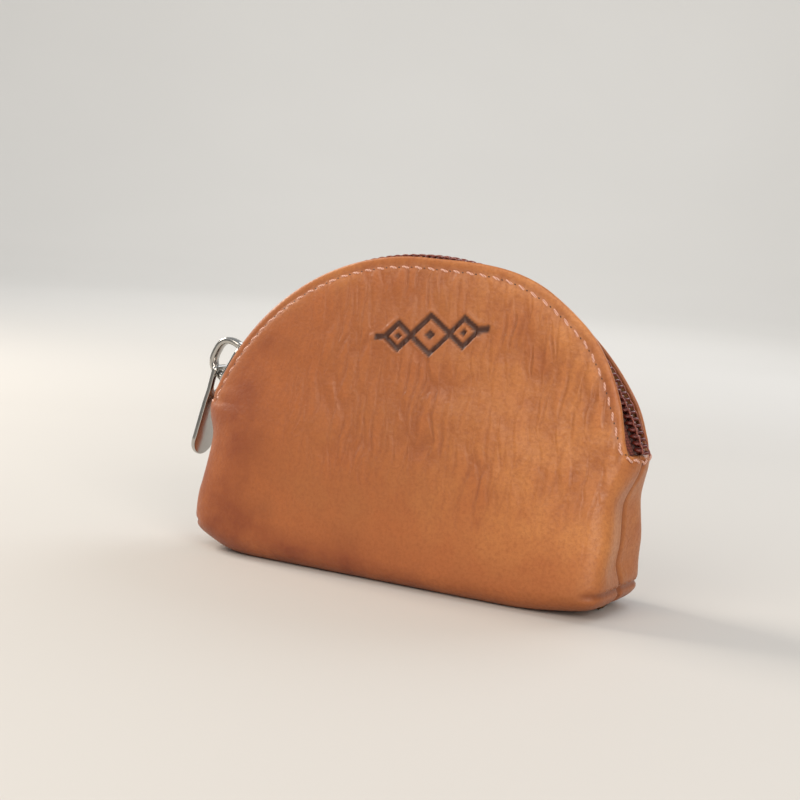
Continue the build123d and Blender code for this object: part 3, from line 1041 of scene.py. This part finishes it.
def woven(name, key, spacing_mm, roughness):
    """Polyester or cotton thread, plain woven: a fine over-and-under of matte yarn."""
    material, tree, shader, place = new_material(name)
    scale = 2 * math.pi / (spacing_mm * MM) / 20
    wide, tall = (
        add(
            tree, "ShaderNodeTexWave",
            {"Vector": place, "Scale": scale, "Distortion": 0.4}, bands_direction=way,
        ).outputs["Fac"]
        for way in ("DIAGONAL", "Z")
    )
    both = add(tree, "ShaderNodeMath", {0: wide, 1: tall}, operation="MULTIPLY")
    values = {0: both, 6: dye(key + "_deep"), 7: dye(key)}
    base = add(tree, "ShaderNodeMix", values, data_type="RGBA").outputs[2]
    bump = add(tree, "ShaderNodeBump", {"Height": both, "Strength": 0.5, "Distance": 0.0001})
    fill(shader, {
        "Base Color": base, "Normal": bump, "Roughness": roughness, "Sheen Weight": 0.15,
    })
    return material


def nylon(name, key):
    """Nylon monofilament, dyed and wound: smooth and half glossy, faintly mottled."""
    material, tree, shader, place = new_material(name)
    spots = add(tree, "ShaderNodeTexNoise", {"Vector": place, "Scale": 700.0, "Detail": 2.0})
    values = {0: spots, 6: dye(key + "_deep"), 7: dye(key)}
    base = add(tree, "ShaderNodeMix", values, data_type="RGBA").outputs[2]
    fill(shader, {"Base Color": base, "Roughness": 0.34, "IOR": 1.53})
    return material


def waxed_thread(name, key):
    """Two-ply waxed thread: diagonal plies show as fine light and dark bands."""
    material, tree, shader, place = new_material(name)
    plies = add(
        tree, "ShaderNodeTexWave",
        {"Vector": place, "Scale": 900.0, "Distortion": 1.0}, bands_direction="DIAGONAL",
    ).outputs["Fac"]
    values = {0: plies, 6: dye(key + "_deep"), 7: dye(key)}
    base = add(tree, "ShaderNodeMix", values, data_type="RGBA").outputs[2]
    bump = add(tree, "ShaderNodeBump", {"Height": plies, "Strength": 0.4, "Distance": 0.0001})
    fill(shader, {"Base Color": base, "Normal": bump, "Roughness": 0.55})
    return material


def nickel():
    """Nickel-plated zinc, tumbled bright: warm grey mirror with faint handling haze."""
    material, tree, shader, place = new_material("bright_nickel")
    haze = add(tree, "ShaderNodeTexNoise", {"Vector": place, "Scale": 450.0, "Detail": 5.0})
    gloss = add(tree, "ShaderNodeMapRange", {"Value": haze, "To Min": 0.1, "To Max": 0.26})
    bump = add(tree, "ShaderNodeBump", {"Height": haze, "Strength": 0.05, "Distance": 0.0002})
    fill(shader, {
        "Base Color": dye("nickel"), "Metallic": 1.0, "Roughness": gloss, "Normal": bump,
    })
    return material


def plain_floor():
    """Painted studio floor: pale, matte, very faintly mottled."""
    material, tree, shader, place = new_material("pale_floor")
    faint = add(tree, "ShaderNodeTexNoise", {"Vector": place, "Scale": 3.0, "Detail": 2.0})
    values = {0: faint, 6: dye("floor_deep"), 7: dye("floor")}
    base = add(tree, "ShaderNodeMix", values, data_type="RGBA").outputs[2]
    fill(shader, {"Base Color": base, "Roughness": 0.7})
    return material


# ======================================================================
# Operators
# ======================================================================

SIDES = (("front", -1), ("back", 1))
ENDS = (("left", -1), ("right", 1))


def dress(piece, material, body, nodes=()):
    """Gives a finished piece its material and its body, and hides the nodes it stands for."""
    piece.data.materials.clear()
    piece.data.materials.append(material)
    if body:
        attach(piece, body)
    if nodes:
        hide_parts(*nodes)


def bend(piece):
    """Bakes the placement of a piece that crosses from the pouch to a lip into its mesh."""
    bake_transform(piece)


def smooth_piece(name, mesh):
    """New object in the scene from a mesh, shaded smooth."""
    mesh.shade_smooth()
    return link(name, mesh)


class PouchSizes(bpy.types.PropertyGroup):
    tan: bpy.props.FloatVectorProperty(
        name="Leather colour", description="Main colour of the panels",
        default=dye("tan")[:3], size=3, min=0.0, max=1.0, subtype="COLOR",
    )
    wall: bpy.props.FloatProperty(
        name="Leather thickness", description="Thickness of the panels",
        default=0.0013, unit="LENGTH",
    )
    stitch_pitch: bpy.props.FloatProperty(
        name="Stitch pitch", description="From one topstitch to the next",
        default=0.0032, unit="LENGTH",
    )
    coil_pitch: bpy.props.FloatProperty(
        name="Coil pitch", description="From one turn of the coil to the next",
        default=0.0015, unit="LENGTH",
    )


class POUCH_OT_leather(bpy.types.Operator):
    """Front and back leather panels"""
    bl_idname = "pouch.leather"
    bl_label = "Leather panels"

    def execute(self, context):
        material = drawn_leather(list(context.scene.pouch_sizes.tan) + [1.0])
        wall = context.scene.pouch_sizes.wall / MM
        for side, seed in (("front", 3), ("back", 8)):
            piece = leather_panel(side + "_leather", seed, side == "front", side == "back", wall)
            dress(piece, material, None, (side + "_panel", side + "_mouth_panel"))
            bend(piece)
        return {"FINISHED"}


class POUCH_OT_lining(bpy.types.Operator):
    """Front and back lining"""
    bl_idname = "pouch.lining"
    bl_label = "Lining"

    def execute(self, context):
        material = woven("plain_lining", "lining", 0.5, 0.85)
        for side, _ in SIDES:
            piece = lining_panel(side + "_inner_lining", side == "back", 2.3)
            dress(piece, material, None, (side + "_lining", side + "_mouth_lining"))
            bend(piece)
        return {"FINISHED"}


class POUCH_OT_tape(bpy.types.Operator):
    """Zip tapes, and their ends in the side seams"""
    bl_idname = "pouch.tape"
    bl_label = "Zip tapes"

    def execute(self, context):
        material = woven("zip_tape_weave", "tape", 0.6, 0.8)
        for side, sign in SIDES:
            outline = tape_section(sign)
            turns = [-ARCH_END_DEG + 2 * ARCH_END_DEG * k / 120 for k in range(121)]
            rings = [[on_arc(r, y, degrees) for r, y in outline] for degrees in turns]
            piece = smooth_piece(side + "_tape", closed_sweep(side + "_tape", rings))
            dress(piece, material, None, (side + "_zip_tape",))
            bend(piece)
        for end, _ in ENDS:
            # Two tapes folded together: a soft doubled strip, grooved down its two faces.
            low, high = box_mm(end + "_tape_end")
            middle = (low[0] + high[0]) / 2
            rings = []
            for k in range(9):
                z = low[2] + 0.4 + (high[2] - low[2] - 1.2) * k / 8
                half_x = 0.8 + 0.35 * math.sin(math.pi * k / 8)
                half_y = 1.9 - 0.25 * abs(k - 4) / 4
                ring = []
                for c, s in round_of(20):
                    y = squared(s, 0.6) * half_y
                    groove = 0.25 * math.exp(-(y / 0.4) ** 2) * math.copysign(1, c)
                    ring.append((middle + (squared(c, 0.6) * half_x - groove), y, z))
                rings.append(ring)
            piece = smooth_piece(end + "_tape_fold", closed_sweep(end + "_tape_fold", rings))
            dress(piece, material, "pouch", (end + "_tape_end",))
        return {"FINISHED"}


class POUCH_OT_coil(bpy.types.Operator):
    """Zip coil: two rows of nylon turns"""
    bl_idname = "pouch.coil"
    bl_label = "Zip coil"

    def execute(self, context):
        material = nylon("dyed_nylon_coil", "coil")
        tree = coil_tree(material)
        pitch = context.scene.pouch_sizes.coil_pitch
        middle = (TAPE_TOP + COIL_TOP) / 2 + 0.05
        sewn = waxed_thread("coil_sewing_thread", "coil_thread")
        rows = stitch_tree(sewn)
        half_pitch = math.degrees(pitch / MM / 2 / middle)
        for side, sign in SIDES:
            start = -COIL_END_DEG + (half_pitch if side == "back" else 0.0)
            points, outs = [], []
            for k in range(241):
                degrees = start + 2 * COIL_END_DEG * k / 240
                # The rows part where the slider stands.
                part = float(smooth((SLIDER_DEG + 3.0 - degrees) / 5.0))
                points.append(on_arc(middle, sign * (COIL_ROW + COIL_PART * part), degrees))
                angle = math.radians(degrees)
                outs.append((math.sin(angle), 0, math.cos(angle)))
            piece = grow(side + "_coil", path_object(points, outs), tree, {
                "Pitch": pitch, "Half Width": 0.0012, "Half Height": 0.00075, "Lean": 0.00035,
                "Thread": 0.00034,
            })
            dress(piece, material, None, (side + "_zip_coil",))
            bend(piece)
            # The chain stitch that holds the coil down lies in the middle of its row.
            lifted = [
                (x + out[0] * 0.98, y + sign * 0.5, z + out[2] * 0.98)
                for (x, y, z), out in zip(points, outs)
            ]
            piece = grow(side + "_coil_thread", path_object(lifted, outs), rows, {
                "Pitch": 0.0021, "Length": 0.0021, "Radius": 0.00017,
                "Slant": math.radians(9 * sign), "Dive": 0.0002,
            })
            dress(piece, sewn, None)
            bend(piece)
        return {"FINISHED"}


class POUCH_OT_stitching(bpy.types.Operator):
    """Topstitching round the arch and across the zip's ends"""
    bl_idname = "pouch.stitching"
    bl_label = "Topstitching"

    def execute(self, context):
        thread = waxed_thread("waxed_pink_thread", "thread")
        # Dark threads sunk between the stitches are painted shade of the stitch holes.
        dark = waxed_thread("stitch_hole_shade", "hole_shade")
        # Label, material, tree, shift along the row in pitches, length, radius, sink in mm.
        kinds = (
            ("stitches", thread, stitch_tree(thread), 0.0, 0.0024, 0.00028, 0.02),
            ("holes", dark, stitch_tree(dark), 0.5, 0.0011, 0.0002, 0.12),
        )
        pitch = context.scene.pouch_sizes.stitch_pitch
        for side, sign in SIDES:
            back = side == "back"
            skin = skin_of(side)
            for label, material, tree, shift, length, radius, sink in kinds:
                start = math.degrees(shift * pitch / MM / (ARCH_R - STITCH_INSET)) - STITCH_END_DEG
                arch = arch_guesses(start, back)
                rows = [(side + "_arch_" + label, arch, None, side + "_arch_stitching", 1.0)]
                for end, way in ENDS:
                    late = int(END_STEPS * shift * pitch / MM / END_RUN)
                    over = end_guesses(way, back)[late:]
                    name = end + "_" + side + "_end_" + label
                    rows.append((name, over, "pouch", end + "_end_stitching", 0.8))
                for name, guesses, body, node, closer in rows:
                    path = path_object(*lay_on(skin, guesses, sink))
                    piece = grow(name, path, tree, {
                        "Pitch": pitch * closer, "Length": length * closer, "Radius": radius,
                        "Slant": math.radians(14 * sign), "Dive": 0.00042,
                    })
                    dress(piece, material, body, (node,) if label == "stitches" else ())
                    if body is None:
                        bend(piece)
        return {"FINISHED"}


class POUCH_OT_slider(bpy.types.Operator):
    """Slider, its bridge and its pull tab"""
    bl_idname = "pouch.slider"
    bl_label = "Slider"

    def execute(self, context):
        material = nickel()
        hang = Matrix.Rotation(math.radians(TAB_LEAN), 4, "Y")
        hung = Matrix.Translation([c * MM for c in PIVOT]) @ hang
        for name, mesh, place, body, node in (
            ("zip_slider", slider_mesh(), slider_place(), "slider", "slider_body"),
            ("bridge_loop", bridge_mesh(), slider_place(), "slider", "slider_bridge"),
            ("hanging_tab", tab_mesh(), hung, "pull_tab", "pull_tab"),
        ):
            mesh.transform(place)
            dress(smooth_piece(name, mesh), material, body, (node,))
        return {"FINISHED"}


class POUCH_OT_seams(bpy.types.Operator):
    """Thread in the side, boxed corner and base seams"""
    bl_idname = "pouch.seams"
    bl_label = "Seam thread"

    def execute(self, context):
        material = waxed_thread("waxed_tan_thread", "seam")
        tree = stitch_tree(material)
        skin = skin_of("front", "back")
        # From over the boxed corner to under the zip's end.
        heights = np.linspace(6.5, 30.5, 30)
        rows = []
        for end, side in ENDS:
            seam = settled(side * (seam_half_width(heights) + 0.3), 0.0, heights)
            corner = settled(side * (BASE_HALF_WIDTH + 0.6), np.linspace(-8.5, 8.5, 25), 5.0)
            under = settled(side * np.linspace(38.0, 46.0, 16), 0.0, -0.3)
            rows += [
                (end + "_side_stitches", seam, end + "_side_seam"),
                (end + "_box_stitches", corner, end + "_box_seam"),
                (end + "_base_stitches", under, "base_seam"),
            ]
        for name, guesses, node in rows:
            piece = grow(name, path_object(*lay_on(skin, guesses, -0.02)), tree, {
                "Pitch": 0.0025, "Length": 0.0018, "Radius": 0.00016, "Slant": 0.0,
                "Dive": 0.0002,
            })
            dress(piece, material, "pouch", (node,))
        return {"FINISHED"}


def floor_mesh():
    """Round floor whose rim curves up, so that it has no far edge to see, in metres."""
    flat, curl, turns = 1.3, 0.9, 72
    rings = [(0.4, 0.0), (0.9, 0.0), (flat, 0.0)]
    rings += [
        (flat + curl * math.sin(a), curl - curl * math.cos(a))
        for a in np.radians(np.arange(6, 91, 6))
    ]
    around = np.linspace(0, 2 * math.pi, turns, endpoint=False)
    vertices = [(r * math.cos(t), r * math.sin(t), z) for r, z in rings for t in around]
    middle = len(vertices)
    vertices.append((0.0, 0.0, 0.0))
    faces = [(middle, k, (k + 1) % turns) for k in range(turns)]
    for first in range(0, middle - turns, turns):
        for k in range(turns):
            a, b = first + k, first + (k + 1) % turns
            faces.append((a, a + turns, b + turns, b))
    mesh = bpy.data.meshes.new("floor")
    mesh.from_pydata(vertices, [], faces)
    return mesh


class POUCH_OT_stage(bpy.types.Operator):
    """Floor, lights and camera"""
    bl_idname = "pouch.stage"
    bl_label = "Stage"

    def execute(self, context):
        scene = context.scene
        floor = smooth_piece("floor", floor_mesh())
        floor.data.materials.append(plain_floor())
        world = bpy.data.worlds.new("studio")
        world.use_nodes = True
        fill(world.node_tree.nodes["Background"], {"Color": linear("#EDF1F5"), "Strength": 0.5})
        scene.world = world
        for name, place, aim, wide, power, colour in LIGHTS:
            lamp = bpy.data.lights.new(name, "AREA")
            lamp.size = wide
            lamp.energy = power
            lamp.color = linear(colour)[:3]
            holder = link(name, lamp)
            holder.location = place
            way = Vector(aim) - Vector(place)
            holder.rotation_euler = way.to_track_quat("-Z", "Y").to_euler()
        camera = bpy.data.cameras.new("camera")
        camera.lens = 72.0
        camera.sensor_width = 36.0
        camera.clip_start = 0.01
        az, el, roll = (math.radians(a) for a in (CAMERA_AZ, CAMERA_EL, CAMERA_ROLL))
        back = Vector((math.sin(az) * math.cos(el), -math.cos(az) * math.cos(el), math.sin(el)))
        right = Vector((math.cos(az), math.sin(az), 0))
        up = back.cross(right)
        side = right * math.cos(roll) - up * math.sin(roll)
        top = right * math.sin(roll) + up * math.cos(roll)
        place = Vector(CAMERA_AIM) + back * CAMERA_AWAY - right * CAMERA_SHIFT
        turned = Matrix((side, top, back)).transposed().to_4x4()
        holder = link("camera", camera)
        holder.matrix_world = Matrix.Translation(place) @ turned
        scene.camera = holder
        scene.view_settings.view_transform = "Standard"
        return {"FINISHED"}


class POUCH_PT_panel(bpy.types.Panel):
    """Lists the pouch's pieces"""
    bl_label = "Pouch"
    bl_idname = "POUCH_PT_panel"
    bl_space_type = "VIEW_3D"
    bl_region_type = "UI"
    bl_category = "Pouch"

    def draw(self, context):
        sizes = context.scene.pouch_sizes
        for name in ("tan", "wall", "stitch_pitch", "coil_pitch"):
            self.layout.prop(sizes, name)
        for operator in OPERATORS:
            self.layout.operator(operator.bl_idname)


OPERATORS = (
    POUCH_OT_stage,
    POUCH_OT_leather,
    POUCH_OT_lining,
    POUCH_OT_tape,
    POUCH_OT_coil,
    POUCH_OT_stitching,
    POUCH_OT_slider,
    POUCH_OT_seams,
)
CLASSES = (PouchSizes,) + OPERATORS + (POUCH_PT_panel,)


def register():
    for cls in CLASSES:
        bpy.utils.register_class(cls)
    bpy.types.Scene.pouch_sizes = bpy.props.PointerProperty(type=PouchSizes)


def unregister():
    del bpy.types.Scene.pouch_sizes
    for cls in reversed(CLASSES):
        bpy.utils.unregister_class(cls)


def main():
    register()
    bpy.ops.pouch.stage()
    bpy.ops.pouch.leather()
    bpy.ops.pouch.lining()
    bpy.ops.pouch.tape()
    bpy.ops.pouch.coil()
    bpy.ops.pouch.stitching()
    bpy.ops.pouch.slider()
    bpy.ops.pouch.seams()


if __name__ == "__main__":
    main()
